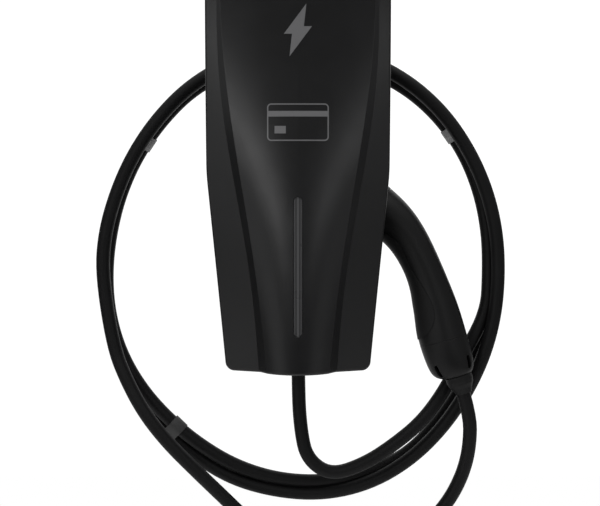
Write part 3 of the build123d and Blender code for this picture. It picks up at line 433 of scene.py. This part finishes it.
# Gland, vent plug and seals
# Fibre-filled plastic fittings in the foot of the core, with soft rubber rings and a bend boot.
fitting_plastic = moulded("fitting_plastic", (0.010, 0.010, 0.0105), (0.014, 0.014, 0.0145), 0.50, 1100.0,
                          0.00004, soften=0.0004)
dress(["gland_body", "gland_lock_nut", "gland_nut", "vent_plug"], fitting_plastic)
seal_rubber = moulded("seal_rubber", (0.006, 0.006, 0.006), (0.009, 0.009, 0.009), 0.70, 500.0, 0.00004)
dress(["gland_seal", "gland_boot", "supply_grommet", "cover_seal"], seal_rubber)


# Plug
# The handle is two satin black mouldings with a soft grip let into its inner side. A collar with
# two finger slots closes the end, and a rubber boot guides the cable out of it.
plug_plastic = moulded("plug_plastic", (0.0034, 0.0034, 0.0036), (0.0046, 0.0046, 0.0048), 0.42, 1300.0,
                       0.000005, soften=0.0006, shine=0.22)
dress(["plug_shell_front", "plug_shell_back", "plug_collar"], plug_plastic)
grip_rubber = moulded("grip_rubber", (0.0020, 0.0020, 0.0021), (0.0030, 0.0030, 0.0032), 0.60, 700.0, 0.00002,
                      soften=0.0005, shine=0.25)
dress(["plug_grip_pad", "plug_boot"], grip_rubber)
nose_plastic = moulded("nose_plastic", (0.010, 0.010, 0.011), (0.013, 0.013, 0.014), 0.45, 900.0, 0.00003)
dress(["plug_nose"], nose_plastic)


# Metal
# Zinc-plated sheet for the bracket, plated steel screws, silvered contact sleeves and tinned cans.
def plated(name, dark, light, gloss, streak):
    """Bare plated metal, a little mottled, with uneven gloss."""
    material, shader, start, place = new_material(name)
    mottle = noise(place, streak, 4.0)
    start.put(shader.inputs["Base Color"], mottle.between(0.3, 0.7).blend((*dark, 1.0), (*light, 1.0)))
    shader.inputs["Metallic"].default_value = 1.0
    start.put(shader.inputs["Roughness"], mottle.between(0.3, 0.7, gloss - 0.05, gloss + 0.08))
    rounded = start.node("ShaderNodeBevel", {"samples": 4}, {"Radius": 0.0003})
    start.put(shader.inputs["Normal"], start.node("ShaderNodeBump", None, {
        "Strength": 0.6, "Distance": 0.00002, "Height": noise(place, 1500.0, 2.0), "Normal": rounded}))
    return material


zinc = plated("zinc", (0.48, 0.49, 0.50), (0.62, 0.63, 0.64), 0.38, 60.0)
dress(["wall_bracket"], zinc)
screw_steel = plated("screw_steel", (0.42, 0.42, 0.43), (0.52, 0.52, 0.53), 0.32, 300.0)
dress(["bracket_lock_screws", "cover_screws", "board_screws", "holster_screws", "plug_screws"], screw_steel)
silver = plated("silver", (0.70, 0.68, 0.64), (0.80, 0.79, 0.76), 0.25, 400.0)
dress(["plug_contacts"], silver)
tin = plated("tin", (0.60, 0.60, 0.59), (0.70, 0.70, 0.69), 0.35, 200.0)
dress(["control_board_cans"], tin)


# Boards and what they carry
# Green glass-fibre boards, a white lamp board, and their moulded parts, all inside the closed case.
board_green = moulded("board_green", (0.012, 0.075, 0.030), (0.018, 0.100, 0.042), 0.40, 800.0, 0.00002)
dress(["power_board", "control_board", "card_reader_board"], board_green)
board_white = moulded("board_white", (0.62, 0.62, 0.61), (0.70, 0.70, 0.69), 0.45, 800.0, 0.00002)
dress(["light_board"], board_white)
relay_case = moulded("relay_case", (0.018, 0.022, 0.040), (0.024, 0.030, 0.052), 0.40, 900.0, 0.00003)
dress(["relays"], relay_case)
winding_tape = moulded("winding_tape", (0.42, 0.30, 0.05), (0.52, 0.38, 0.07), 0.35, 500.0, 0.00003)
dress(["supply_transformer"], winding_tape)
can_sleeve = moulded("can_sleeve", (0.030, 0.034, 0.060), (0.042, 0.048, 0.080), 0.30, 700.0, 0.00002)
dress(["capacitors"], can_sleeve)
terminal_case = moulded("terminal_case", (0.20, 0.21, 0.22), (0.25, 0.26, 0.27), 0.45, 900.0, 0.00003)
dress(["input_terminals", "output_terminals"], terminal_case)
sensor_potting = moulded("sensor_potting", (0.016, 0.016, 0.018), (0.022, 0.022, 0.025), 0.50, 900.0, 0.00003)
dress(["leakage_sensor"], sensor_potting)
antenna_ceramic = moulded("antenna_ceramic", (0.60, 0.57, 0.48), (0.68, 0.65, 0.56), 0.40, 900.0, 0.00002)
dress(["radio_antenna"], antenna_ceramic)
wire_sleeve = moulded("wire_sleeve", (0.020, 0.020, 0.022), (0.030, 0.030, 0.032), 0.45, 700.0, 0.00002)
dress(["output_wires"], wire_sleeve)


# Studio
# A pale floor under the object, a white room behind it, two tall soft boxes in front and a
# wide one overhead.
floor_height = -0.60
floor_mesh = bpy.data.meshes.new("studio_floor")
floor_shape = bmesh.new()
bmesh.ops.create_grid(floor_shape, x_segments=1, y_segments=1, size=1.0,
                      matrix=Matrix.Translation((0.0, 0.0, floor_height)))
floor_shape.to_mesh(floor_mesh)
floor_shape.free()
floor = bpy.data.objects.new("studio_floor", floor_mesh)
bpy.context.scene.collection.objects.link(floor)
floor_paint, floor_shader, floor_start, floor_place = new_material("floor_paint")
floor_shader.inputs["Base Color"].default_value = (0.82, 0.82, 0.82, 1.0)
floor_shader.inputs["Roughness"].default_value = 0.9
far_away = floor_start.node("ShaderNodeVectorMath", {"operation": "LENGTH"}, {0: floor_place}, out=1)
floor_ray = Value(floor_paint.node_tree, floor_paint.node_tree.nodes.new("ShaderNodeLightPath").outputs[0])
white = floor_start.node("ShaderNodeEmission")
joined = floor_start.node("ShaderNodeMixShader", None, {
    0: far_away.between(0.50, 0.90) * floor_ray, 1: floor_shader.outputs[0], 2: white})
floor_out = next(n for n in floor_paint.node_tree.nodes if n.type == "OUTPUT_MATERIAL")
floor_start.put(floor_out.inputs["Surface"], joined)
floor_mesh.materials.append(floor_paint)

world = bpy.data.worlds.new("studio_room")
bpy.context.scene.world = world
world.use_nodes = True
room = Value(world.node_tree, None)
ray = world.node_tree.nodes.new("ShaderNodeLightPath")
seen = Value(world.node_tree, ray.outputs["Is Camera Ray"])
through = Value(world.node_tree, ray.outputs["Is Transmission Ray"])
aim = room.node("ShaderNodeTexCoord", out=0)
split = world.node_tree.nodes.new("ShaderNodeSeparateXYZ")
world.node_tree.links.new(aim.source, split.inputs[0])
mirrored = Value(world.node_tree, ray.outputs["Is Glossy Ray"])
depthwise = Value(world.node_tree, split.outputs[1])
upward = Value(world.node_tree, split.outputs[2])
sideways = Value(world.node_tree, split.outputs[0])
side_wall = depthwise.between(-0.90, -0.80) * depthwise.between(-0.62, -0.25, 1.0, 0.0)
side_glow = sideways.between(-0.5, 0.5, 1.30, 0.74) * upward.between(-0.245, -0.16, 0.0, 1.0)
side_light = side_wall * side_glow * upward.between(-0.08, 0.06, 1.0, 0.35)
rear_light = depthwise.between(0.55, 0.80, 0.0, 0.95)
ceiling_light = upward.between(0.3, 1.0, 0.0, 0.9)
fill_light = upward.between(-0.20, 0.10, 0.0, 0.055)
edge_light = depthwise.between(-0.45, -0.25) * sideways.between(-0.5, 0.5, 0.08, 0.16)
soft_room = side_light + rear_light + ceiling_light + fill_light + edge_light
backdrop = mirrored * depthwise.between(0.55, 0.80)
strength = room.math("MAXIMUM", room.math("MAXIMUM", seen + through, backdrop), soft_room)
backing = next(n for n in world.node_tree.nodes if n.type == "BACKGROUND")
backing.inputs["Color"].default_value = (1.0, 1.0, 1.0, 1.0)
room.put(backing.inputs["Strength"], strength)

# Name, place, lean in degrees, width and height, power in watts
soft_boxes = [("left_box", (-0.56, -1.50, 0.17), 54, (0.15, 0.57), 2.5),
              ("right_box", (0.61, -1.50, 0.16), -54, (0.15, 0.57), 1.2),
              ("top_box", (0.0, -0.5, 1.6), 0, (1.4, 0.8), 14.0)]
lit_middle = Vector((0.0, -0.1, -0.05))
for name, place, lean, size, power in soft_boxes:
    lamp_data = bpy.data.lights.new(name, "AREA")
    lamp_data.shape = "RECTANGLE"
    lamp_data.size, lamp_data.size_y = size
    lamp_data.energy = power
    lamp = bpy.data.objects.new(name, lamp_data)
    bpy.context.scene.collection.objects.link(lamp)
    lamp.location = place
    facing = (lit_middle - Vector(place)).to_track_quat("-Z", "Y")
    lamp.rotation_euler = (facing @ Quaternion((0.0, 0.0, 1.0), radians(lean))).to_euler()

bpy.context.scene.view_settings.view_transform = "Standard"
